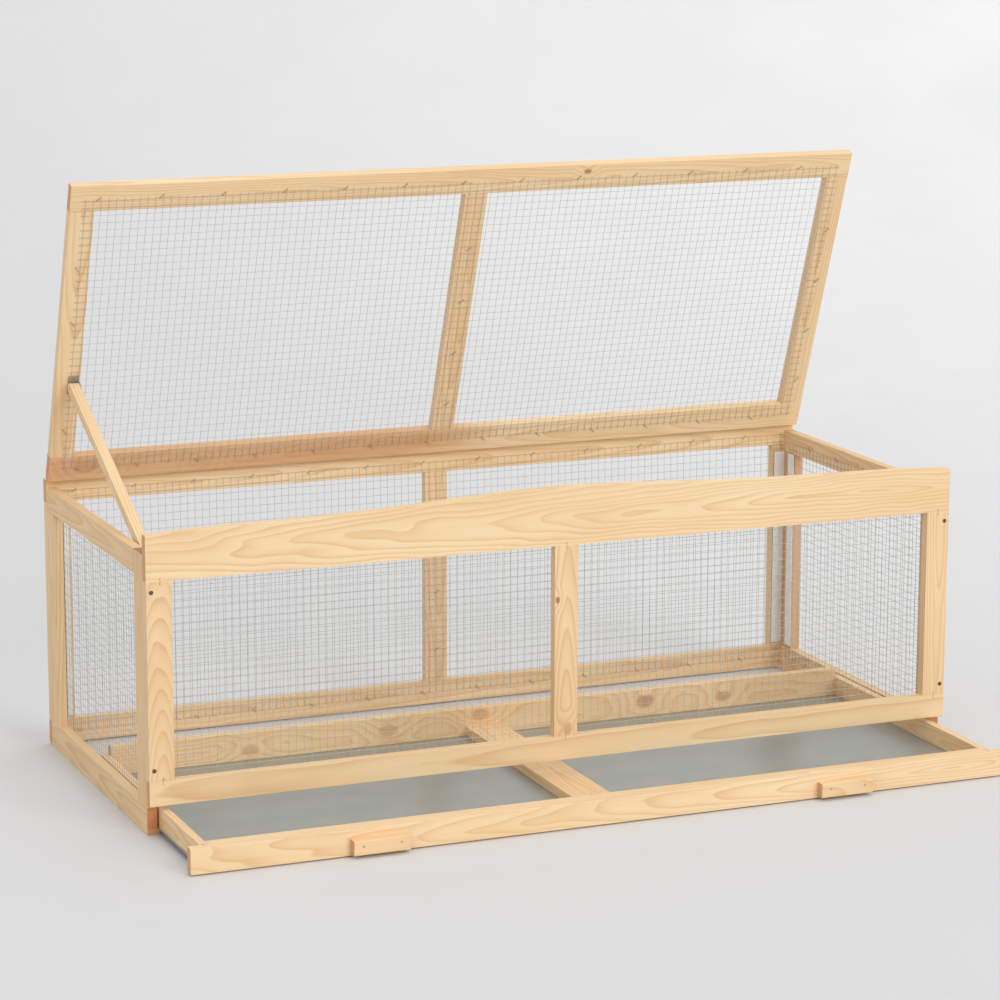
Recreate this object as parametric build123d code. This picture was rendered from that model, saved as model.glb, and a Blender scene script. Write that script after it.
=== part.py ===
from build123d import *
import os
from math import cos, radians, sin

# Rodent cage of pale timber frames and welded wire mesh, shown with the lid
# propped open and the bedding drawer pulled part way out.
# Lengths are millimetres. X runs to the right, Y to the rear, Z up.
# Pieces are laid out from the front left lower corner of the body, and
# every file is written from the bottom centre of the whole object.
os.makedirs("parts", exist_ok=True)

# Body
WIDTH = 1370
DEPTH = 570
BOARD = 16
STILE = 40
EASE = 0.8
CENTRE = WIDTH / 2
INNER_RIGHT = WIDTH - BOARD
BACK_FACE = DEPTH - BOARD

# Front panel
FRONT_RAIL = (49, 88)
FASCIA_LOW = 397
FASCIA_END = 468
FASCIA_CROWN = (
    (120, 472.5),
    (290, 474.5),
    (439, 480.5),
    (581, 488),
    (690, 490.5),
    (784, 487.7),
    (959, 479.3),
    (1113, 475),
    (1277, 472.5),
)

# Side panels
SIDE_TOP = 437
SIDE_RAIL_LOW = 399
SIDE_FRONT_STILE = (16, 63)
SIDE_REAR_STILE = (514, 554)
BASE_RAIL = (9, 43)
RUNNER_WIDTH = 21.5

# Back panel
BACK_TOP_RAIL = (411, 449)
BACK_LOW_RAIL = (3, 42)

# Lid, laid out closed
LID_UNDER = 437.3
LID_TOP = LID_UNDER + BOARD
LID_FRONT = 17.5
LID_REAR = 551
LID_FRONT_RAIL = 44
LID_REAR_RAIL = 46
LID_OPEN = 70
HINGE_Y = 552.9
HINGE_Z = 450.5

# Wire nets, one cell standing for four real 12.7 mm cells each way
NET = 1.2
NET_BAR = 2
NET_LAP = 20

# Staples
STAPLE_SPAN = 10
STAPLE_WIRE = 0.8
STAPLE_LEG = 6

# Screws: head radius, shank radius and length
CORNER_SCREW = (3.6, 2, 38)
LEAF_SCREW = (2.4, 1.2, 10)

# Butt hinges
HINGE_CENTRES = (200, 1170)
HINGE_LENGTH = 60
LEAF = 1.2
BARREL_RADIUS = 2.8
BARREL_GAP = 0.3
PIN_RADIUS = 1.25
PIN_CLEARANCE = 0.05

# Prop stick
PROP_X = (18.6, 34.6)
PROP_ALONG = 181
PROP_OFF = 12.5
PROP_LENGTH = 455
PROP_FALL = 26.4
PROP_SCREW = 2

# Drawer, laid out pulled forward
DRAWER_OUT = 200
DRAWER_TOP = 42
DRAWER_FLOOR = 10
DRAWER_LENGTH = 531
DRAWER_SIDE = (19, 32)
DRAWER_REAR_TOP = 57
DRAWER_CENTRE_RAIL = (643, 708)
DRAWER_CENTRE_TOP = 26
HANDLE_CENTRES = (294, 1076)
HANDLE_WIDTH = 91
HANDLE_Z = (5, 28)

# Cover strips over the wire ends in the rear corners
STRIP = 1.5
STRIP_WIDTH = 20
STRIP_HEIGHT = (49, 399)

pieces = {}


def span_box(x, y, z):
    """Plain block between pairs of limits."""
    centre = Pos((x[0] + x[1]) / 2, (y[0] + y[1]) / 2, (z[0] + z[1]) / 2)
    return centre * Box(x[1] - x[0], y[1] - y[0], z[1] - z[0])


def board(x, y, z, grain):
    """Sawn board with its edges along the grain eased."""
    block = span_box(x, y, z)
    return fillet(block.edges().filter_by(grain), EASE)


def mirrored(x):
    """Limits of the same piece on the right side."""
    return (WIDTH - x[1], WIDTH - x[0])


def group(solids):
    """Several like solids kept in one file."""
    return Compound(children=list(solids))


def net(width, height, columns, rows):
    """Flat net about the origin in the XY plane, holes clean through."""
    pitch_x = (width - NET_BAR) / columns
    pitch_y = (height - NET_BAR) / rows
    hole = Rectangle(pitch_x - NET_BAR, pitch_y - NET_BAR)
    face = Rectangle(width, height) - GridLocations(pitch_x, pitch_y, columns, rows) * hole
    return extrude(face, NET)


def staple():
    """Staple about the origin, its legs driven down -Z from the timber face."""
    half = STAPLE_SPAN / 2
    wire = STAPLE_WIRE / 2
    crown = span_box((-half, half), (-wire, wire), (NET, NET + STAPLE_WIRE))
    left = span_box((-half, -half + 2 * wire), (-wire, wire), (-STAPLE_LEG, NET))
    right = span_box((half - 2 * wire, half), (-wire, wire), (-STAPLE_LEG, NET))
    return crown + left + right


def net_staples(width, height, columns, rows, stiles):
    """Slanted staples over the edge wires of a net, in the net's own plane."""
    pitch_x = (width - NET_BAR) / columns
    pitch_y = (height - NET_BAR) / rows
    edge_x = (width - NET_BAR) / 2
    edge_y = (height - NET_BAR) / 2
    spots = []
    for column in range(0, columns, 2):
        x = (column + 0.5 - columns / 2) * pitch_x
        spots += [(x, edge_y, 40), (x, -edge_y, -40)]
    for row in range(1, rows - 1, 2):
        y = (row + 0.5 - rows / 2) * pitch_y
        spots += [(edge_x, y, 50), (-edge_x, y, -50)]
        spots += [(x, y, 35) for x in stiles]
    return [Pos(x, y, 0) * Rot(0, 0, turn) * staple() for x, y, turn in spots]


def screw_hole(head, shank, length):
    """Countersunk hole pointing down -Z from its mouth at z 0."""
    cone = Pos(0, 0, -head / 2) * Cone(shank, head, head)
    return cone + Pos(0, 0, -(head + length) / 2) * Cylinder(shank, length - head)


def wood_screw(head, shank, length):
    """Screw that fills such a hole, with a crossed recess in its head."""
    recess = Box(head, head / 3, head * 0.8) + Box(head / 3, head, head * 0.8)
    return screw_hole(head, shank, length) - recess


def wavy_fastener():
    """Corrugated strip along Y, driven up +Z from the face at z 0."""
    points = [(0.9 * (-1) ** step, 3 * step - 6) for step in range(5)]
    ribbon = make_face(offset(Polyline(*points), 0.3, side=Side.BOTH))
    return extrude(ribbon, 8)


def drive(spots, size):
    """Screws of one size at the given places, and the holes they need."""
    screws = [spot * wood_screw(*size) for spot in spots]
    holes = [spot * screw_hole(*size) for spot in spots]
    return screws, holes


def cut_where_met(names, tools):
    """Cut every tool out of the named pieces whose box it enters."""
    for name in names:
        piece_box = pieces[name].bounding_box()
        met = [tool for tool in tools if boxes_meet(piece_box, tool.bounding_box())]
        for tool in met:
            pieces[name] = pieces[name] - tool


def boxes_meet(first, second):
    """True when two bounding boxes share some volume."""
    low = [max(a, b) for a, b in zip(tuple(first.min), tuple(second.min))]
    high = [min(a, b) for a, b in zip(tuple(first.max), tuple(second.max))]
    return all(top - bottom > 0.01 for bottom, top in zip(low, high))


# Front panel boards
FRONT_Y = (0, BOARD)
outline = Polyline((WIDTH, FASCIA_END), (WIDTH, FASCIA_LOW), (0, FASCIA_LOW), (0, FASCIA_END))
crown = Spline((0, FASCIA_END), *FASCIA_CROWN, (WIDTH, FASCIA_END))
fascia_face = Plane.XZ * make_face(outline + crown)
fascia = extrude(fascia_face, -BOARD)
pieces["front_fascia"] = fillet(fascia.edges().group_by(Axis.Z)[-1], EASE)
pieces["front_bottom_rail"] = board((0, WIDTH), FRONT_Y, FRONT_RAIL, Axis.X)
STILE_SPANS = {
    "left": (0, STILE),
    "centre": (CENTRE - STILE / 2, CENTRE + STILE / 2),
    "right": (WIDTH - STILE, WIDTH),
}
for place, span in STILE_SPANS.items():
    height = (FRONT_RAIL[1], FASCIA_LOW)
    pieces[f"front_{place}_stile"] = board(span, FRONT_Y, height, Axis.Z)

# Side panel boards, each standing between the front and the back
for side, flip in (("left", lambda x: x), ("right", mirrored)):
    thick = flip((0, BOARD))
    front_end = SIDE_FRONT_STILE[1]
    pieces[f"{side}_front_stile"] = board(thick, SIDE_FRONT_STILE, (BASE_RAIL[1], SIDE_TOP), Axis.Z)
    pieces[f"{side}_rear_stile"] = board(thick, SIDE_REAR_STILE, (BASE_RAIL[1], SIDE_RAIL_LOW), Axis.Z)
    pieces[f"{side}_top_rail"] = board(
        thick, (front_end, BACK_FACE), (SIDE_RAIL_LOW, SIDE_TOP), Axis.Y
    )
    pieces[f"{side}_base_rail"] = board(thick, (BOARD, BACK_FACE), BASE_RAIL, Axis.Y)
    pieces[f"{side}_runner"] = board(
        flip((0, RUNNER_WIDTH)), (BOARD, BACK_FACE), (0, BASE_RAIL[0]), Axis.Y
    )

# Back panel boards
BACK_Y = (BACK_FACE, DEPTH)
pieces["back_top_rail"] = board((0, WIDTH), BACK_Y, BACK_TOP_RAIL, Axis.X)
pieces["back_bottom_rail"] = board((0, WIDTH), BACK_Y, BACK_LOW_RAIL, Axis.X)
for place, span in STILE_SPANS.items():
    height = (BACK_LOW_RAIL[1], BACK_TOP_RAIL[0])
    pieces[f"back_{place}_stile"] = board(span, BACK_Y, height, Axis.Z)

# Lid boards, closed
LID_Z = (LID_UNDER, LID_TOP)
lid_inner_front = LID_FRONT + LID_FRONT_RAIL
lid_inner_rear = LID_REAR - LID_REAR_RAIL
pieces["lid_front_rail"] = board((0, WIDTH), (LID_FRONT, lid_inner_front), LID_Z, Axis.X)
pieces["lid_rear_rail"] = board((0, WIDTH), (lid_inner_rear, LID_REAR), LID_Z, Axis.X)
for place, span in STILE_SPANS.items():
    pieces[f"lid_{place}_stile"] = board(
        span, (lid_inner_front, lid_inner_rear), LID_Z, Axis.Y
    )

# Nets and the staples that hold them, on the inner faces of the frames
front_net = (WIDTH - 2 * NET_LAP, 349, 26, 7)
back_net = (WIDTH - 2 * NET_LAP, 408, 26, 8)
side_net = (498, 395, 10, 8)
lid_net = (WIDTH - 37, 491, 26, 10)
at_front = Pos(CENTRE, BOARD, 242.5) * Rot(-90, 0, 0)
at_back = Pos(CENTRE, BACK_FACE, 226) * Rot(90, 0, 0)
at_left = Pos(BOARD, 285, 221.5) * Rot(0, 90, 0) * Rot(0, 0, 90)
at_right = Pos(INNER_RIGHT, 285, 221.5) * Rot(0, -90, 0) * Rot(0, 0, 90)
at_lid = Pos(CENTRE, LID_REAR - 266.5, LID_UNDER) * Rot(180, 0, 0)
frame_staples = []
lid_staples = []
for name, place, size, store, stiles in (
    ("front_mesh", at_front, front_net, frame_staples, (0,)),
    ("back_mesh", at_back, back_net, frame_staples, (0,)),
    ("left_mesh", at_left, side_net, frame_staples, ()),
    ("right_mesh", at_right, side_net, frame_staples, ()),
    ("lid_mesh", at_lid, lid_net, lid_staples, (0,)),
):
    pieces[name] = place * net(*size)
    store += [place * one for one in net_staples(*size, stiles)]

# Cover strips over the wire ends in the rear corners
strip_back_y = (BACK_FACE - NET - STRIP, BACK_FACE - NET)
strip_side_y = (SIDE_REAR_STILE[0], SIDE_REAR_STILE[0] + STRIP_WIDTH)
for side, flip in (("left", lambda x: x), ("right", mirrored)):
    back_x = flip((BOARD + 0.5, BOARD + 0.5 + STRIP_WIDTH))
    side_x = flip((BOARD + NET, BOARD + NET + STRIP))
    pieces[f"{side}_back_cover_strip"] = span_box(back_x, strip_back_y, STRIP_HEIGHT)
    pieces[f"{side}_side_cover_strip"] = span_box(side_x, strip_side_y, STRIP_HEIGHT)


def free_of_strips(tool):
    """Staples that a cover strip would land on are left out."""
    strips = [pieces[name] for name in pieces if name.endswith("cover_strip")]
    return not any(boxes_meet(tool.bounding_box(), strip.bounding_box()) for strip in strips)


frame_staples = [one for one in frame_staples if free_of_strips(one)]

# Screws through the front corners into the edges of the side panels
corner_spots = [
    Pos(x, 0, z) * Rot(90, 0, 0) * Rot(0, 0, 20)
    for x in (BOARD / 2, WIDTH - BOARD / 2)
    for z in (105, 381)
]
corner_screws, corner_holes = drive(corner_spots, CORNER_SCREW)

# Corrugated fasteners driven flush across the front panel joints
corrugated = []
for x in (22, CENTRE, WIDTH - 20):
    for z in (FRONT_RAIL[1], FASCIA_LOW):
        corrugated.append(Pos(x, 0, z) * Rot(-90, 0, 0) * wavy_fastener())

# Butt hinges: leaf on the back rail, leaf let into the lid, loose pin
hinge_cut = BARREL_RADIUS + BARREL_GAP
frame_leaf_z = (BACK_TOP_RAIL[1], BACK_TOP_RAIL[1] + LEAF)
lid_leaf_z = (HINGE_Z - LEAF / 2, HINGE_Z + LEAF / 2)
frame_leaf_y = (HINGE_Y + hinge_cut, DEPTH - 1)
lid_leaf_y = (LID_REAR - 14, HINGE_Y - hinge_cut)
leaf_screw_steps = (-22, 0, 22)
knuckle = HINGE_LENGTH / 3
frame_leaf_spots = []
lid_leaf_spots = []


def barrel(x0, x1, radius):
    """Cylinder along X on the hinge axis."""
    middle = Pos((x0 + x1) / 2, HINGE_Y, HINGE_Z)
    return middle * Rot(0, 90, 0) * Cylinder(radius, x1 - x0)


for side, x in zip(("left", "right"), HINGE_CENTRES):
    start, end = x - HINGE_LENGTH / 2, x + HINGE_LENGTH / 2
    inner = (start + knuckle + BARREL_GAP / 2, end - knuckle - BARREL_GAP / 2)
    outer = ((start, inner[0] - BARREL_GAP), (inner[1] + BARREL_GAP, end))
    frame_leaf = span_box((start, end), frame_leaf_y, frame_leaf_z)
    for part in outer:
        frame_leaf += span_box(part, (HINGE_Y + 2, frame_leaf_y[0]), frame_leaf_z)
        frame_leaf += barrel(*part, BARREL_RADIUS)
    frame_leaf -= barrel(start - 1, end + 1, PIN_RADIUS)
    lid_leaf = span_box((start, end), lid_leaf_y, lid_leaf_z)
    lid_leaf += span_box(inner, (lid_leaf_y[1], HINGE_Y - 2), lid_leaf_z)
    lid_leaf += barrel(*inner, BARREL_RADIUS)
    lid_leaf -= barrel(start - 1, end + 1, PIN_RADIUS + PIN_CLEARANCE)
    pieces[f"{side}_hinge_frame_leaf"] = frame_leaf
    pieces[f"{side}_hinge_lid_leaf"] = lid_leaf
    pieces[f"{side}_hinge_pin"] = barrel(start, end, PIN_RADIUS)
    clear = barrel(start - 0.5, end + 0.5, hinge_cut)
    pocket = span_box((start, end), (lid_leaf_y[0], LID_REAR + 1), (lid_leaf_z[0], LID_TOP + 1))
    pieces["back_top_rail"] -= clear
    pieces["lid_rear_rail"] = pieces["lid_rear_rail"] - clear - pocket
    for step in leaf_screw_steps:
        turn = Rot(0, 0, 2 * step)
        frame_leaf_spots.append(Pos(x + step, 563, frame_leaf_z[1]) * turn)
        lid_leaf_spots.append(Pos(x + step, 543.4, lid_leaf_z[1]) * turn)

# Prop stick bracket on the underside of the left lid stile
pivot_y = LID_REAR - PROP_ALONG
pivot_z = LID_UNDER - PROP_OFF
net_under = LID_UNDER - NET
bracket_t = 1.5
flange_x = (PROP_X[1] + 0.6, PROP_X[1] + 0.6 + bracket_t)
plate_z = (net_under - bracket_t, net_under)
plate = span_box((PROP_X[0] + 1.4, flange_x[1]), (pivot_y - 16, pivot_y + 16), plate_z)
flange = span_box(flange_x, (pivot_y - 8, pivot_y + 8), (pivot_z - 8, net_under))
flange = fillet(flange.edges().filter_by(Axis.X).group_by(Axis.Z)[0], 7)
pieces["prop_bracket"] = plate + flange
bracket_spots = [Pos(27, pivot_y + step, plate_z[0]) * Rot(180, 0, 30) for step in (-11, 11)]
pivot_head = Pos(flange_x[1] + 0.9, pivot_y, pivot_z) * Rot(0, 90, 0) * Cylinder(4, 1.8)
pivot_shank_x = (PROP_X[0] + 0.6, flange_x[1] + 0.2)
pivot_shank = Pos(sum(pivot_shank_x) / 2, pivot_y, pivot_z) * Rot(0, 90, 0)
pivot_length = pivot_shank_x[1] - pivot_shank_x[0]
pieces["prop_pivot_screw"] = pivot_head + pivot_shank * Cylinder(PROP_SCREW, pivot_length)
pieces["prop_bracket"] -= pieces["prop_pivot_screw"]

# Staples that would sit under the bracket are left out
bracket_box = pieces["prop_bracket"].bounding_box()
lid_staples = [one for one in lid_staples if not boxes_meet(one.bounding_box(), bracket_box)]

# Cut the timber and the metal for their fastenings
timber = [name for name in pieces if name.endswith(("rail", "stile", "fascia"))]
frame_timber = [name for name in timber if "lid" not in name]
lid_timber = [name for name in timber if "lid" in name]
lid_metal = ["left_hinge_lid_leaf", "right_hinge_lid_leaf", "prop_bracket", "lid_mesh"]
frame_screws, frame_leaf_holes = drive(frame_leaf_spots, LEAF_SCREW)
lid_screws, lid_holes = drive(lid_leaf_spots + bracket_spots, LEAF_SCREW)
cut_where_met(frame_timber, frame_staples + corner_holes + corrugated + frame_leaf_holes)
cut_where_met(["left_hinge_frame_leaf", "right_hinge_frame_leaf"], frame_leaf_holes)
cut_where_met(lid_timber, lid_staples + lid_holes)
cut_where_met(lid_metal, lid_holes)
pieces["frame_staples"] = group(frame_staples)
pieces["lid_staples"] = group(lid_staples)
pieces["corner_screws"] = group(corner_screws)
pieces["corrugated_fasteners"] = group(corrugated)
pieces["hinge_frame_screws"] = group(frame_screws)
pieces["lid_screws"] = group(lid_screws)

# Prop stick, square with rounded ends, laid along its pointing direction
stick_size = PROP_X[1] - PROP_X[0]
stick_middle = sum(PROP_X) / 2
stick = Box(stick_size, PROP_LENGTH, stick_size)
stick = Pos(stick_middle, -PROP_LENGTH / 2, 0) * stick
round_end = Rot(0, 90, 0) * Cylinder(stick_size / 2, stick_size)
stick += Pos(stick_middle, 0, 0) * round_end
stick += Pos(stick_middle, -PROP_LENGTH, 0) * round_end
stick -= Pos(stick_middle, 0, 0) * Rot(0, 90, 0) * Cylinder(PROP_SCREW + PIN_CLEARANCE, 40)
swing = radians(LID_OPEN)
reach_y = pivot_y - HINGE_Y
reach_z = pivot_z - HINGE_Z
rest_pivot_y = HINGE_Y + reach_y * cos(swing) + reach_z * sin(swing)
rest_pivot_z = HINGE_Z - reach_y * sin(swing) + reach_z * cos(swing)
pieces["prop_stick"] = Pos(0, rest_pivot_y, rest_pivot_z) * Rot(PROP_FALL, 0, 0) * stick

# Drawer, pulled forward
front_y = -DRAWER_OUT
inner_y = front_y + BOARD
rear_y = front_y + DRAWER_LENGTH
rail_z = (DRAWER_FLOOR, DRAWER_TOP)
between = (DRAWER_SIDE[1], WIDTH - DRAWER_SIDE[1])
pieces["drawer_front"] = board((0, WIDTH), (front_y, inner_y), (2, DRAWER_TOP), Axis.X)
pieces["drawer_inner_front_rail"] = board(between, (inner_y, inner_y + BOARD), rail_z, Axis.X)
rear_z = (DRAWER_FLOOR, DRAWER_REAR_TOP)
pieces["drawer_rear_rail"] = board(between, (rear_y - BOARD, rear_y), rear_z, Axis.X)
pieces["drawer_left_rail"] = board(DRAWER_SIDE, (inner_y, rear_y), rail_z, Axis.Y)
pieces["drawer_right_rail"] = board(mirrored(DRAWER_SIDE), (inner_y, rear_y), rail_z, Axis.Y)
pieces["drawer_centre_rail"] = board(
    DRAWER_CENTRE_RAIL,
    (inner_y + BOARD, rear_y - BOARD),
    (DRAWER_FLOOR, DRAWER_CENTRE_TOP),
    Axis.Y,
)
pieces["drawer_tray_sheet"] = span_box(
    (BOARD + 1, INNER_RIGHT - 1), (inner_y, rear_y), (DRAWER_FLOOR - 0.8, DRAWER_FLOOR)
)
drawer_nails = []
for side, x in zip(("left", "right"), HANDLE_CENTRES):
    limits = (x - HANDLE_WIDTH / 2, x + HANDLE_WIDTH / 2)
    handle = span_box(limits, (front_y - 15, front_y), HANDLE_Z)
    handle = fillet(handle.edges().group_by(Axis.Y)[0], 2)
    pieces[f"drawer_{side}_handle"] = handle
    for step in (-30, 30):
        nail = Pos(0, 0, -0.75) * Cylinder(1.8, 1.5) + Pos(0, 0, -13) * Cylinder(0.9, 24)
        drawer_nails.append(Pos(x + step, front_y - 15, 19) * Rot(90, 0, 0) * nail)
corner_fasteners = [
    Pos(x, inner_y, DRAWER_TOP) * Rot(180, 0, 0) * wavy_fastener()
    for x in (25, WIDTH - 25)
]
drawer_names = [name for name in pieces if name.startswith("drawer") and not name.endswith("sheet")]
cut_where_met(drawer_names, drawer_nails + corner_fasteners)
pieces["drawer_nails"] = group(drawer_nails)
pieces["drawer_corner_fasteners"] = group(corner_fasteners)

# Swing the lid open about its hinge axis, move everything to the bottom
# centre of the whole object and write one file for each piece
LID_PIECES = (
    "lid_front_rail",
    "lid_rear_rail",
    "lid_left_stile",
    "lid_centre_stile",
    "lid_right_stile",
    "lid_mesh",
    "lid_staples",
    "lid_screws",
    "left_hinge_lid_leaf",
    "right_hinge_lid_leaf",
    "prop_bracket",
    "prop_pivot_screw",
)
open_lid = Pos(0, HINGE_Y, HINGE_Z) * Rot(-LID_OPEN, 0, 0) * Pos(0, -HINGE_Y, -HINGE_Z)
handle_front = front_y - 15
to_centre = Pos(-CENTRE, -(handle_front + DEPTH) / 2, 0)
for name, shape in pieces.items():
    rest = open_lid * shape if name in LID_PIECES else shape
    export_step(to_centre * rest, f"parts/{name}.step")
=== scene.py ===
import math
import random

import bpy
from mathutils import Matrix, Vector


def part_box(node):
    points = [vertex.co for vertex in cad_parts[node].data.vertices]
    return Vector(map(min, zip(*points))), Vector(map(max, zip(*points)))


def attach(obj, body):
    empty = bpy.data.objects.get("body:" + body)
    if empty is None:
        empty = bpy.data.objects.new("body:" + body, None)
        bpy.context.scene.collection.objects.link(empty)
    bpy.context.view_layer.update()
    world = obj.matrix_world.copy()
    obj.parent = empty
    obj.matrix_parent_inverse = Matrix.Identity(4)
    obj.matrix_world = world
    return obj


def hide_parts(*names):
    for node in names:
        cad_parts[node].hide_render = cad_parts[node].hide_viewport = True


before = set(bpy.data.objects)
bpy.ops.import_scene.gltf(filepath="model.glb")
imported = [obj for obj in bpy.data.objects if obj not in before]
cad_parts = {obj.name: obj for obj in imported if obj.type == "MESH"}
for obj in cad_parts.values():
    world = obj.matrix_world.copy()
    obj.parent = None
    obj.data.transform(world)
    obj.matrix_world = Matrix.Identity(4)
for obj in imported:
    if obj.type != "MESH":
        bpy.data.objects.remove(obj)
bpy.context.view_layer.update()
scene = bpy.context.scene

# Layout of the cage, in millimetres from the front left lower corner
WIDTH = 1370
HALF = WIDTH / 2
MIDDLE_Y = 177.5
LID_UNDER = 437.3
LID_OPEN = math.radians(70)
HINGE = (552.9, 450.5)
STICK_FALL = math.radians(26.4)

# Wire nets, in millimetres: pitch, wire radius, cut end, lift of the crossing
# wires, and how far a wire sways and shakes
PITCH = 12.7
WIRE = 0.35
WIRE_SIDES = 6
TAIL = 0.6
CROSSING = 0.75
SWAY = 0.35
SHAKE = 0.12

# Slow bulges of a net, which fade out towards its stapled edge
BULGES = 6
FULL_TURN = 6.283
FLAT_EDGE = 20
FADE = 60

# Floor that curves up into a backdrop, in metres
SWEEP_HALF = 16.0
CURVE_START = 3.0
CURVE_RADIUS = 4.0
CURVE_STEPS = 16
BACKDROP_TOP = 14.0

# Camera calibrated on the photo, which is 1000 pixels wide
YAW = math.radians(22.76)
PITCH_DOWN = math.radians(-11.82)
ROLL = math.radians(0.14)
FOCAL_PIXELS = 3402.05
PHOTO_PIXELS = 1000
SENSOR = 36.0


def place(x, y, z):
    """Point of the frame, in metres, from layout millimetres."""
    return Vector(((x - HALF) / 1000, (y - MIDDLE_Y) / 1000, z / 1000))


def on_lid(x, y, z):
    """Point given with the lid closed, where it is with the lid open."""
    back, up = y - HINGE[0], z - HINGE[1]
    turned_y = HINGE[0] + back * math.cos(LID_OPEN) + up * math.sin(LID_OPEN)
    turned_z = HINGE[1] - back * math.sin(LID_OPEN) + up * math.cos(LID_OPEN)
    return place(x, turned_y, turned_z)


class Nodes:
    """Short calls for building one node material."""

    def __init__(self, name):
        self.material = bpy.data.materials.new(name)
        self.material.use_nodes = True
        self.tree = self.material.node_tree
        self.shader = self.tree.nodes["Principled BSDF"]

    def add(self, kind, **values):
        node = self.tree.nodes.new(kind)
        for key, value in values.items():
            setattr(node, key, value)
        return node

    def put(self, socket, value):
        if isinstance(value, bpy.types.NodeSocket):
            self.tree.links.new(value, socket)
        else:
            socket.default_value = value

    def math(self, operation, first, second=0.0):
        node = self.add("ShaderNodeMath", operation=operation)
        self.put(node.inputs[0], first)
        self.put(node.inputs[1], second)
        return node.outputs[0]

    def vector(self, operation, first, second):
        node = self.add("ShaderNodeVectorMath", operation=operation)
        self.put(node.inputs[0], first)
        self.put(node.inputs[1], second)
        return node.outputs["Value" if operation == "DOT_PRODUCT" else "Vector"]

    def mapped(self, source, move, turn, scale):
        node = self.add("ShaderNodeMapping")
        self.put(node.inputs["Vector"], source)
        node.inputs["Location"].default_value = move
        node.inputs["Rotation"].default_value = turn
        node.inputs["Scale"].default_value = scale
        return node.outputs[0]

    def noise(self, source, scale, detail=3.0, rough=0.5):
        node = self.add("ShaderNodeTexNoise")
        self.put(node.inputs["Vector"], source)
        node.inputs["Scale"].default_value = scale
        node.inputs["Detail"].default_value = detail
        node.inputs["Roughness"].default_value = rough
        return node.outputs["Fac"]

    def span(self, value, low, high, to_low=0.0, to_high=1.0, kind="LINEAR"):
        node = self.add("ShaderNodeMapRange", interpolation_type=kind)
        for socket, number in zip(node.inputs, (value, low, high, to_low, to_high)):
            self.put(socket, number)
        return node.outputs[0]

    def mix(self, amount, first, second):
        node = self.add("ShaderNodeMix", data_type="RGBA")
        self.put(node.inputs[0], amount)
        self.put(node.inputs[6], first)
        self.put(node.inputs[7], second)
        return node.outputs[2]

    def bump(self, height, strength, distance):
        node = self.add("ShaderNodeBump")
        self.put(node.inputs["Height"], height)
        node.inputs["Strength"].default_value = strength
        node.inputs["Distance"].default_value = distance
        self.tree.links.new(node.outputs[0], self.shader.inputs["Normal"])


def rgb(red, green, blue):
    """Linear colour from sRGB values of 0 to 255."""
    values = [value / 255 for value in (red, green, blue)]
    linear = [v / 12.92 if v <= 0.04045 else ((v + 0.055) / 1.055) ** 2.4 for v in values]
    return (*linear, 1.0)


# Timber colours, where a pair is for the palest and the deepest board
PALE = (rgb(248, 224, 184), rgb(242, 212, 168))
WARM = (rgb(240, 210, 162), rgb(234, 196, 148))
DARK = (rgb(224, 172, 112), rgb(208, 150, 96))
KNOT = rgb(146, 84, 48)
END_GRAIN = rgb(212, 152, 104)
PORES = rgb(160, 104, 66)
RED = rgb(202, 132, 84)


def between(pair, share):
    """Colour part of the way from the first of a pair to the second."""
    return tuple(a + (b - a) * share for a, b in zip(*pair))


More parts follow.
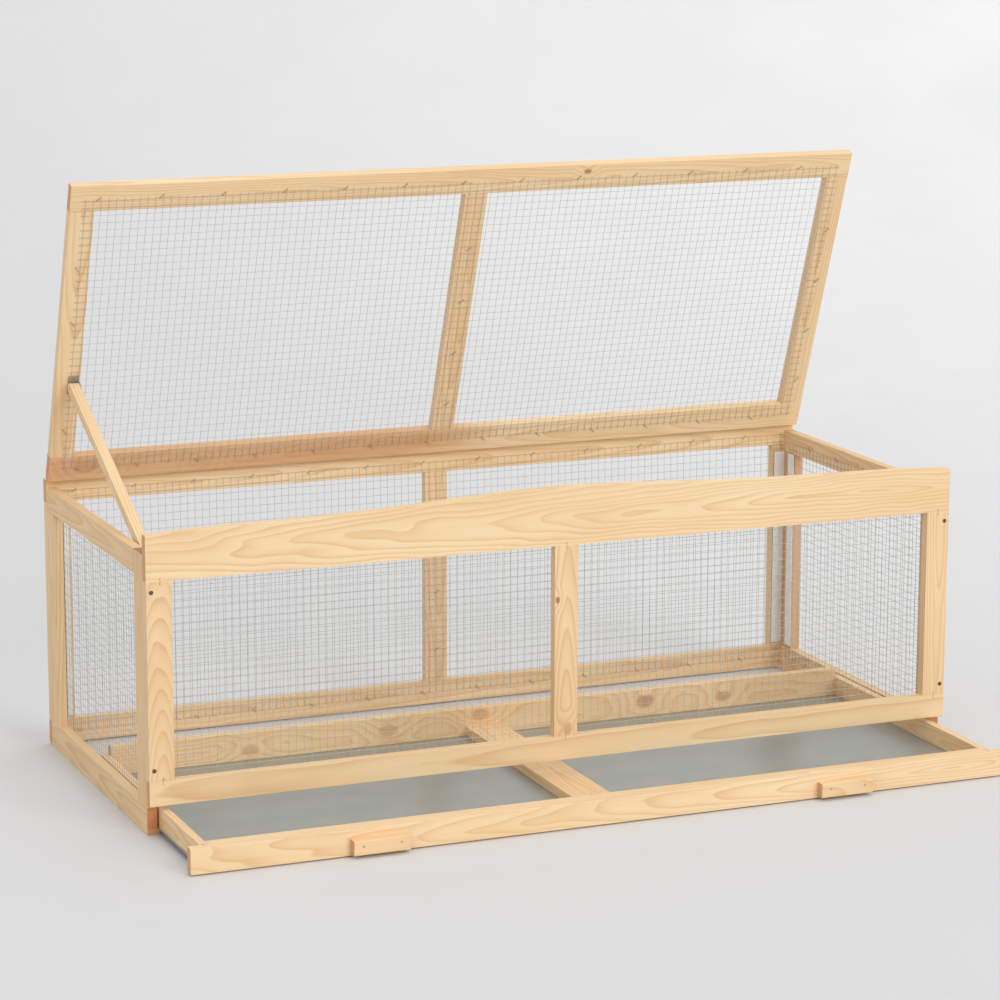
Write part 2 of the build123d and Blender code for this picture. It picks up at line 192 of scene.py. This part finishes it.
def pine(name, middle, grain, seed, tint=0.5, ring=0.0042, slant=None, knots=(), end=END_GRAIN,
         heart=None, offset=None, wavy=1.0):
    """Pine board material: growth rings round a pith axis, fibre, end grain and knots."""
    n = Nodes(name)
    dice = random.Random(seed)
    coord = n.add("ShaderNodeTexCoord")
    centred = n.vector("SUBTRACT", coord.outputs["Object"], tuple(middle))
    along, across, through = (n.vector("DOT_PRODUCT", centred, tuple(axis)) for axis in grain)
    local_node = n.add("ShaderNodeCombineXYZ")
    for socket, value in zip(local_node.inputs, (along, across, through)):
        n.put(socket, value)
    local = local_node.outputs[0]
    shift = dice.uniform(-40, 40)

    # Wander of the rings along the board
    wander_at = n.mapped(local, (shift, 0, 0), (0, 0, 0), (1.0, 6.0, 6.0))
    wander = n.math("SUBTRACT", n.noise(wander_at, 2.6, 2.0), 0.5)
    waver_at = n.mapped(local, (shift, 3, 0), (0, 0, 0), (7.0, 40.0, 40.0))
    waver = n.math("SUBTRACT", n.noise(waver_at, 1.0, 3.0, 0.6), 0.5)

    # Distance from a pith axis that slants slowly past the board
    pith = offset or (
        dice.uniform(-0.006, 0.006),
        dice.choice((-1, 1)) * dice.uniform(0.012, 0.035),
    )
    lean = n.math("MULTIPLY", along, dice.choice((-0.03, 0.03)) if slant is None else slant)
    off_across = n.math("ADD", n.math("SUBTRACT", across, pith[0]),
                        n.math("MULTIPLY", wander, 0.012 * wavy))
    off_through = n.math("ADD", n.math("SUBTRACT", through, pith[1]), lean)
    squared = n.math("ADD", n.math("POWER", off_across, 2.0), n.math("POWER", off_through, 2.0))
    distance = n.math("ADD", n.math("SQRT", squared), n.math("MULTIPLY", wander, 0.008 * wavy))
    curl_at = n.mapped(local, (shift, 7, 0), (0, 0, 0), (4.0, 16.0, 16.0))
    curl = n.math("SUBTRACT", n.noise(curl_at, 2.0, 1.0), 0.5)
    distance = n.math("ADD", distance, n.math("MULTIPLY", curl, 0.006 * wavy))
    distance = n.math("ADD", distance, n.math("MULTIPLY", waver, 0.0022))

    # Knots push the rings aside and darken
    knot_dark = 0.0
    for spot, size, depth in knots:
        away = n.vector("SUBTRACT", coord.outputs["Object"], tuple(spot))
        parts = [n.vector("DOT_PRODUCT", away, tuple(axis)) for axis in grain[:2]]
        flat = n.math("ADD", n.math("POWER", n.math("MULTIPLY", parts[0], 0.6), 2.0),
                      n.math("POWER", parts[1], 2.0))
        reach = n.math("SQRT", flat)
        push = n.span(reach, 0.0, size * 3.6, 1.0, 0.0, "SMOOTHSTEP")
        distance = n.math("ADD", distance, n.math("MULTIPLY", push, size * 1.3))
        core = n.span(n.math("ADD", reach, n.math("MULTIPLY", waver, size * 0.5)),
                      size * 0.55, size, depth, 0.0, "SMOOTHSTEP")
        knot_dark = n.math("MAXIMUM", knot_dark, core)

    phase = n.math("FRACT", n.math("DIVIDE", distance, ring))
    rise = n.math("POWER", phase, 2.6)
    fall = n.span(phase, 0.93, 1.0, 1.0, 0.0)
    late = n.math("MULTIPLY", rise, fall)

    # Fibre streaks along the grain
    fibre_at = n.mapped(local, (shift, 0, 0), (0, 0, 0), (14.0, 900.0, 900.0))
    fibre = n.noise(fibre_at, 1.0, 4.0, 0.6)
    streak_at = n.mapped(local, (shift, 5, 0), (0, 0, 0), (2.0, 90.0, 90.0))
    streak = n.noise(streak_at, 1.0, 3.0)
    blotch_at = n.mapped(local, (shift, 9, 0), (0, 0, 0), (3.0, 14.0, 14.0))
    blotch = n.noise(blotch_at, 1.0, 2.0)

    # Timber colour, with late wood and fibre in the darker one
    dark = between(DARK, tint)
    colour = n.mix(n.span(blotch, 0.3, 0.72), between(PALE, tint), between(WARM, tint))
    colour = n.mix(n.math("MULTIPLY", late, n.span(streak, 0.25, 0.7, 0.35, 0.8)), colour, dark)
    colour = n.mix(n.span(fibre, 0.35, 0.8, 0.0, 0.18), colour, dark)
    if heart:
        low, high, shade = heart
        body = n.math("ADD", along, n.math("MULTIPLY", wander, 0.25))
        amount = n.span(body, low, high, 0.62, 0.0, "SMOOTHSTEP")
        amount = n.math("MULTIPLY", amount, n.span(streak, 0.2, 0.65, 0.55, 1.0))
        colour = n.mix(amount, colour, shade)
    if knots:
        colour = n.mix(n.math("MULTIPLY", knot_dark, 0.85), colour, KNOT)

    # End grain
    facing = n.vector("DOT_PRODUCT", coord.outputs["Normal"], tuple(grain[0]))
    cut = n.span(n.math("ABSOLUTE", facing), 0.75, 0.95)
    colour = n.mix(n.math("MULTIPLY", cut, 0.75), colour, end)
    pores = n.noise(coord.outputs["Object"], 2600.0, 2.0)
    pitted = n.math("MULTIPLY", cut, n.span(pores, 0.45, 0.7, 0.0, 0.4))
    colour = n.mix(pitted, colour, PORES)

    # Surface
    n.put(n.shader.inputs["Base Color"], colour)
    n.put(n.shader.inputs["Roughness"], n.span(late, 0.0, 1.0, 0.62, 0.5))
    n.shader.inputs["Specular IOR Level"].default_value = 0.35
    relief = n.math("ADD", n.math("MULTIPLY", fibre, 0.5), n.math("MULTIPLY", late, 0.5))
    n.bump(relief, 0.5, 0.00022)
    return n.material


def metal(name, colour, rough, scale, metallic):
    """Dull metal with fine drawn marks and small tarnish spots."""
    n = Nodes(name)
    coord = n.add("ShaderNodeTexCoord").outputs["Object"]
    grime = n.noise(coord, scale, 4.0, 0.6)
    fine = n.noise(coord, scale * 9, 3.0)
    darker = tuple(value * 0.7 for value in colour[:3]) + (1.0,)
    n.put(n.shader.inputs["Base Color"], n.mix(n.span(grime, 0.4, 0.75), colour, darker))
    n.put(n.shader.inputs["Roughness"], n.span(fine, 0.3, 0.7, rough - 0.08, rough + 0.12))
    n.shader.inputs["Metallic"].default_value = metallic
    n.bump(fine, 0.25, 0.0001)
    return n.material


def sheet_finish(name):
    """Grey coated sheet with soft mottling and fine scuffs."""
    n = Nodes(name)
    coord = n.add("ShaderNodeTexCoord").outputs["Object"]
    mottle = n.noise(coord, 9.0, 4.0)
    scuff = n.noise(n.mapped(coord, (0, 0, 0), (0, 0, 0.5), (30.0, 400.0, 60.0)), 1.0, 3.0)
    colour = n.mix(n.span(mottle, 0.3, 0.7), rgb(154, 159, 155), rgb(164, 168, 163))
    colour = n.mix(n.span(scuff, 0.6, 0.8, 0.0, 0.06), colour, rgb(172, 176, 170))
    n.put(n.shader.inputs["Base Color"], colour)
    n.put(n.shader.inputs["Roughness"], n.span(scuff, 0.3, 0.75, 0.3, 0.34))
    n.shader.inputs["Specular IOR Level"].default_value = 0.7
    n.shader.inputs["Metallic"].default_value = 0.3
    n.bump(mottle, 0.15, 0.0004)
    return n.material


def strip_finish(name):
    """Pale matt strip, a little chalky, with faint handling marks."""
    n = Nodes(name)
    coord = n.add("ShaderNodeTexCoord").outputs["Object"]
    chalk = n.noise(coord, 60.0, 4.0)
    speck = n.noise(coord, 700.0, 2.0)
    colour = n.mix(n.span(chalk, 0.35, 0.7), rgb(246, 245, 240), rgb(234, 233, 226))
    colour = n.mix(n.span(speck, 0.66, 0.75, 0.0, 0.5), colour, rgb(150, 148, 140))
    n.put(n.shader.inputs["Base Color"], colour)
    n.put(n.shader.inputs["Roughness"], n.span(chalk, 0.3, 0.7, 0.5, 0.7))
    n.bump(speck, 0.3, 0.00012)
    return n.material


def cover(name, material):
    """Give a CAD piece its finish."""
    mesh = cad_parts[name].data
    mesh.materials.clear()
    mesh.materials.append(material)


# Grain frames: along, across the face, through the thickness
X_AXIS, Y_AXIS, Z_AXIS = Vector((1, 0, 0)), Vector((0, 1, 0)), Vector((0, 0, 1))
LID_ALONG = Vector((0, -math.cos(LID_OPEN), math.sin(LID_OPEN)))
LID_UP = Vector((0, math.sin(LID_OPEN), math.cos(LID_OPEN)))
STICK_ALONG = Vector((0, -math.cos(STICK_FALL), -math.sin(STICK_FALL)))
STICK_ACROSS = Vector((0, -math.sin(STICK_FALL), math.cos(STICK_FALL)))
RAIL_FRONT = (X_AXIS, Z_AXIS, Y_AXIS)
STILE_FRONT = (Z_AXIS, X_AXIS, Y_AXIS)
RAIL_SIDE = (Y_AXIS, Z_AXIS, X_AXIS)
STILE_SIDE = (Z_AXIS, Y_AXIS, X_AXIS)
RAIL_LID = (X_AXIS, LID_ALONG, LID_UP)
STILE_LID = (LID_ALONG, X_AXIS, LID_UP)
FLAT_ALONG_Y = (Y_AXIS, X_AXIS, Z_AXIS)
STICK = (STICK_ALONG, STICK_ACROSS, X_AXIS)

# Grain frame and looks of each board; a knot has its place, size and depth
BOARDS = {
    "front_fascia": (RAIL_FRONT, dict(
        tint=0.2, ring=0.006, slant=0.05, offset=(-0.004, 0.019), wavy=2.2,
    )),
    "front_bottom_rail": (RAIL_FRONT, dict(tint=0.3, ring=0.009, slant=0.02)),
    "front_left_stile": (STILE_FRONT, dict(
        tint=0.75, ring=0.0046, slant=-0.13, offset=(0.002, 0.03), wavy=0.8,
    )),
    "front_centre_stile": (STILE_FRONT, dict(
        tint=0.6, slant=0.06,
        knots=((place(670, 0, 310), 0.0045, 0.9), (place(689, 0, 100), 0.008, 0.4)),
    )),
    "front_right_stile": (STILE_FRONT, dict(tint=0.4)),
    "back_top_rail": (RAIL_FRONT, dict(tint=0.3)),
    "back_bottom_rail": (RAIL_FRONT, dict(tint=0.5, ring=0.008)),
    "back_left_stile": (STILE_FRONT, dict(tint=0.4)),
    "back_centre_stile": (STILE_FRONT, dict(tint=0.6)),
    "back_right_stile": (STILE_FRONT, dict(tint=0.6)),
    "lid_front_rail": (RAIL_LID, dict(
        tint=0.25, knots=((on_lid(879, 30, LID_UNDER), 0.0055, 0.8),),
    )),
    "lid_rear_rail": (RAIL_LID, dict(
        tint=0.2, heart=(-0.05, 0.16, RED), wavy=1.6,
        knots=(
            (on_lid(62, 527, LID_UNDER), 0.014, 0.25),
            (on_lid(262, 530, LID_UNDER), 0.010, 0.12),
        ),
    )),
    "lid_left_stile": (STILE_LID, dict(tint=0.3)),
    "lid_centre_stile": (STILE_LID, dict(tint=0.5)),
    "lid_right_stile": (STILE_LID, dict(tint=0.6)),
    "prop_stick": (STICK, dict(tint=0.35)),
    "drawer_front": (RAIL_FRONT, dict(
        tint=0.25, ring=0.005, slant=0.05, offset=(0.002, 0.02), wavy=1.8,
    )),
    "drawer_inner_front_rail": (RAIL_FRONT, dict(tint=0.3)),
    "drawer_rear_rail": (RAIL_FRONT, dict(
        tint=0.4, ring=0.006, wavy=2.4,
        knots=(
            (place(972, 315, 36), 0.013, 0.5), (place(1120, 315, 30), 0.011, 0.4),
            (place(505, 315, 34), 0.013, 0.35), (place(265, 315, 26), 0.012, 0.35),
            (place(668, 315, 44), 0.012, 0.4),
        ),
    )),
    "drawer_left_rail": (RAIL_SIDE, dict(tint=0.35)),
    "drawer_right_rail": (RAIL_SIDE, dict(tint=0.35)),
    "drawer_centre_rail": (FLAT_ALONG_Y, dict(tint=0.5, ring=0.006)),
    "drawer_left_handle": (RAIL_FRONT, dict(tint=0.6, heart=(1.0, 2.0, rgb(240, 200, 154)))),
    "drawer_right_handle": (RAIL_FRONT, dict(tint=0.45)),
}
for side in ("left", "right"):
    BOARDS[f"{side}_top_rail"] = (RAIL_SIDE, dict(tint=0.6))
    BOARDS[f"{side}_base_rail"] = (RAIL_SIDE, dict(tint=0.7, end=rgb(196, 108, 58)))
    BOARDS[f"{side}_runner"] = (RAIL_SIDE, dict(tint=0.6))
    # The front stiles' tops and bottoms get a very dark brown, close to the knot colour
    BOARDS[f"{side}_front_stile"] = (STILE_SIDE, dict(tint=0.9, end=rgb(150, 92, 56)))
    BOARDS[f"{side}_rear_stile"] = (STILE_SIDE, dict(tint=0.6))
BOARDS["right_rear_stile"] = (STILE_SIDE, dict(tint=0.8, heart=(1.0, 2.0, rgb(196, 128, 86))))
for number, (name, (grain, looks)) in enumerate(BOARDS.items()):
    low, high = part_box(name)
    middle = (Vector(low) + Vector(high)) / 2
    cover(name, pine(f"{name}_timber", middle, grain, 100 + number, **looks))

# Finishes of the sheet, the strips and the metal pieces
steel = metal("plated_steel", rgb(178, 168, 150), 0.5, 300.0, 0.5)
dark_steel = metal("screw_steel", rgb(128, 106, 84), 0.5, 300.0, 0.5)
wire_steel = metal("mesh_wire", rgb(196, 194, 188), 0.5, 240.0, 0.25)
cover("drawer_tray_sheet", sheet_finish("tray_sheet"))
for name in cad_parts:
    if "cover_strip" in name:
        cover(name, strip_finish(f"{name}_finish"))
    elif name in ("corner_screws", "corrugated_fasteners", "drawer_corner_fasteners"):
        cover(name, dark_steel)
    elif name not in BOARDS and not name.endswith("_mesh") and name != "drawer_tray_sheet":
        cover(name, steel)


def tube(verts, faces, points, side, up):
    """Add one round wire through the points."""
    start = len(verts)
    for point in points:
        for step in range(WIRE_SIDES):
            turn = 2 * math.pi * step / WIRE_SIDES
            verts.append(point + (side * math.cos(turn) + up * math.sin(turn)) * WIRE / 1000)
    for ring in range(len(points) - 1):
        for step in range(WIRE_SIDES):
            first = start + ring * WIRE_SIDES + step
            second = start + ring * WIRE_SIDES + (step + 1) % WIRE_SIDES
            faces.append((first, second, second + WIRE_SIDES, first + WIRE_SIDES))
    faces.append(tuple(start + step for step in reversed(range(WIRE_SIDES))))
    last = start + (len(points) - 1) * WIRE_SIDES
    faces.append(tuple(last + step for step in range(WIRE_SIDES)))


def wire_net(name, body, origin, across, along, out, width, height, seed):
    """Welded net of round wires in place of the plain holed plate."""
    dice = random.Random(seed)
    waves = [
        (dice.uniform(0, 6.3), dice.uniform(150, 420), dice.uniform(0.15, 0.4))
        for _ in range(BULGES)
    ]
    verts, faces = [], []

    def bulge(u, v):
        """How far the net stands proud of its flat place."""
        total = sum(
            size * math.sin(phase + (u if index % 2 else v) / length * FULL_TURN)
            for index, (phase, length, size) in enumerate(waves)
        )
        edge = min(u, width - u, v, height - v)
        return max(0.0, total * min(1.0, max(0.0, edge - FLAT_EDGE) / FADE))

    def at(u, v, lift):
        """Point of the net, in metres."""
        proud = WIRE + lift + bulge(u, v)
        return origin + (across * u + along * v + out * proud) / 1000

    def lay(lines, first, steps, start, length, bend, spot, side):
        """Add parallel wires, each slightly bent, from edge to edge."""
        for line in range(lines + 1):
            fixed = first + line * PITCH
            sway = dice.uniform(-SWAY, SWAY)
            points = []
            for step in range(steps + 1):
                bent = fixed + sway * math.sin(step * bend) + dice.uniform(-SHAKE, SHAKE)
                points.append(spot(bent, start + step * PITCH))
            points[0] = spot(fixed, TAIL)
            points[-1] = spot(fixed, length - TAIL)
            tube(verts, faces, points, side, out)

    columns = int(width // PITCH)
    rows = int(height // PITCH)
    start_u = (width - columns * PITCH) / 2
    start_v = (height - rows * PITCH) / 2
    lay(columns, start_u, rows, start_v, height, 0.35, lambda u, v: at(u, v, 0.0), across)
    lay(rows, start_v, columns, start_u, width, 0.21, lambda v, u: at(u, v, CROSSING), along)
    mesh = bpy.data.meshes.new(f"{name}_wires")
    mesh.from_pydata([tuple(vert) for vert in verts], [], faces)
    mesh.update()
    for face in mesh.polygons:
        face.use_smooth = True
    piece = bpy.data.objects.new(f"{name}_wires", mesh)
    scene.collection.objects.link(piece)
    mesh.materials.append(wire_steel)
    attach(piece, body)
    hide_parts(name)


wire_net("front_mesh", "frame", place(20, 16, 68), X_AXIS, Z_AXIS, Y_AXIS, 1330, 349, 11)
wire_net("back_mesh", "frame", place(20, 554, 22), X_AXIS, Z_AXIS, -Y_AXIS, 1330, 408, 12)
wire_net("left_mesh", "frame", place(16, 36, 24), Y_AXIS, Z_AXIS, X_AXIS, 498, 395, 13)
wire_net("right_mesh", "frame", place(1354, 36, 24), Y_AXIS, Z_AXIS, -X_AXIS, 498, 395, 14)
wire_net("lid_mesh", "lid", on_lid(18.5, 530, LID_UNDER), X_AXIS, LID_ALONG, -LID_UP, 1333, 491, 15)


def floor_finish(name):
    """Pale floor and backdrop with faint mottling, and painted light that makes it paler towards
    the right.
    """
    n = Nodes(name)
    coord = n.add("ShaderNodeTexCoord").outputs["Object"]
    faint = n.noise(coord, 3.0, 2.0)
    apart = n.add("ShaderNodeSeparateXYZ")
    n.put(apart.inputs[0], coord)
    # Painted light: the floor and backdrop grow paler towards the right, as if more light fell
    # there
    painted_light_rightward = n.span(apart.outputs["X"], 0.5, 4.0)
    colour = n.mix(painted_light_rightward, rgb(217, 217, 218), rgb(240, 240, 240))
    colour = n.mix(n.span(faint, 0.3, 0.7, 0.0, 0.2), colour, rgb(212, 213, 215))
    n.put(n.shader.inputs["Base Color"], colour)
    n.shader.inputs["Roughness"].default_value = 0.6
    n.shader.inputs["Specular IOR Level"].default_value = 0.2
    return n.material


def sweep_profile():
    """Depth and height along the floor and up the curved backdrop."""
    points = [(-SWEEP_HALF, 0.0), (CURVE_START, 0.0)]
    for step in range(1, CURVE_STEPS + 1):
        turn = step / CURVE_STEPS * math.pi / 2
        depth = CURVE_START + CURVE_RADIUS * math.sin(turn)
        points.append((depth, CURVE_RADIUS - CURVE_RADIUS * math.cos(turn)))
    return points + [(CURVE_START + CURVE_RADIUS, BACKDROP_TOP)]


# Floor and backdrop, square to the camera
floor_mesh = bpy.data.meshes.new("floor")
sweep = sweep_profile()
backdrop_turn = Matrix.Rotation(-YAW, 3, "Z")
floor_points = [
    backdrop_turn @ Vector((x, y, z)) for y, z in sweep for x in (-SWEEP_HALF, SWEEP_HALF)
]
floor_faces = [(2 * i, 2 * i + 1, 2 * i + 3, 2 * i + 2) for i in range(len(sweep) - 1)]
floor_mesh.from_pydata([tuple(point) for point in floor_points], [], floor_faces)
for face in floor_mesh.polygons:
    face.use_smooth = True
floor_mesh.materials.append(floor_finish("floor_white"))
floor = bpy.data.objects.new("floor", floor_mesh)
scene.collection.objects.link(floor)

# World: one even light on the cage, and a pale grey where it is seen itself
world = bpy.data.worlds.new("studio")
scene.world = world
world.use_nodes = True
tree = world.node_tree
tree.nodes.clear()


def even_light(colour, strength):
    """Background shader of one colour and strength."""
    node = tree.nodes.new("ShaderNodeBackground")
    node.inputs["Color"].default_value = colour
    node.inputs["Strength"].default_value = strength
    return node.outputs[0]


def larger(first, second):
    """Larger of two node values."""
    node = tree.nodes.new("ShaderNodeMath")
    node.operation = "MAXIMUM"
    tree.links.new(first, node.inputs[0])
    tree.links.new(second, node.inputs[1])
    return node.outputs[0]


ray = tree.nodes.new("ShaderNodeLightPath").outputs
seen = larger(larger(ray["Is Camera Ray"], ray["Is Glossy Ray"]), ray["Is Transmission Ray"])
choose = tree.nodes.new("ShaderNodeMixShader")
world_output = tree.nodes.new("ShaderNodeOutputWorld")
tree.links.new(seen, choose.inputs[0])
tree.links.new(even_light((1.0, 1.0, 1.0, 1.0), 0.56), choose.inputs[1])
tree.links.new(even_light(rgb(224, 224, 226), 1.0), choose.inputs[2])
tree.links.new(choose.outputs[0], world_output.inputs["Surface"])


def lamp(name, spot, aim, spread, power):
    """Soft even lamp that shines from a place towards another."""
    data = bpy.data.lights.new(name, "SUN")
    data.angle = math.radians(spread)
    data.energy = power
    lamp_object = bpy.data.objects.new(name, data)
    lamp_object.location = spot
    toward = Vector(aim) - Vector(spot)
    lamp_object.rotation_euler = toward.to_track_quat("-Z", "Y").to_euler()
    scene.collection.objects.link(lamp_object)


lamp("key", (1.2, -3.8, 2.4), (0, 0, 0.3), 36, 1.2)
lamp("fill", (-3.2, -2.4, 2.6), (0, 0, 0.3), 40, 0.3)
lamp("top", (0.2, 0.4, 3.6), (0, 0, 0.3), 50, 0.75)

# Camera
forward = Vector((
    math.sin(YAW) * math.cos(PITCH_DOWN),
    math.cos(YAW) * math.cos(PITCH_DOWN),
    math.sin(PITCH_DOWN),
))
level = Vector((math.cos(YAW), -math.sin(YAW), 0))
upright = level.cross(forward)
right = math.cos(ROLL) * level + math.sin(ROLL) * upright
up = -math.sin(ROLL) * level + math.cos(ROLL) * upright
camera_data = bpy.data.cameras.new("camera")
camera_data.sensor_width = SENSOR
camera_data.sensor_fit = "HORIZONTAL"
camera_data.lens = FOCAL_PIXELS * SENSOR / PHOTO_PIXELS
camera_data.clip_end = 100.0
camera = bpy.data.objects.new("camera", camera_data)
rotation = Matrix((right, up, -forward)).transposed().to_4x4()
camera.matrix_world = Matrix.Translation(place(-1420.8, -4748.5, 1555.9)) @ rotation
scene.collection.objects.link(camera)
scene.camera = camera

scene.view_settings.view_transform = "Standard"
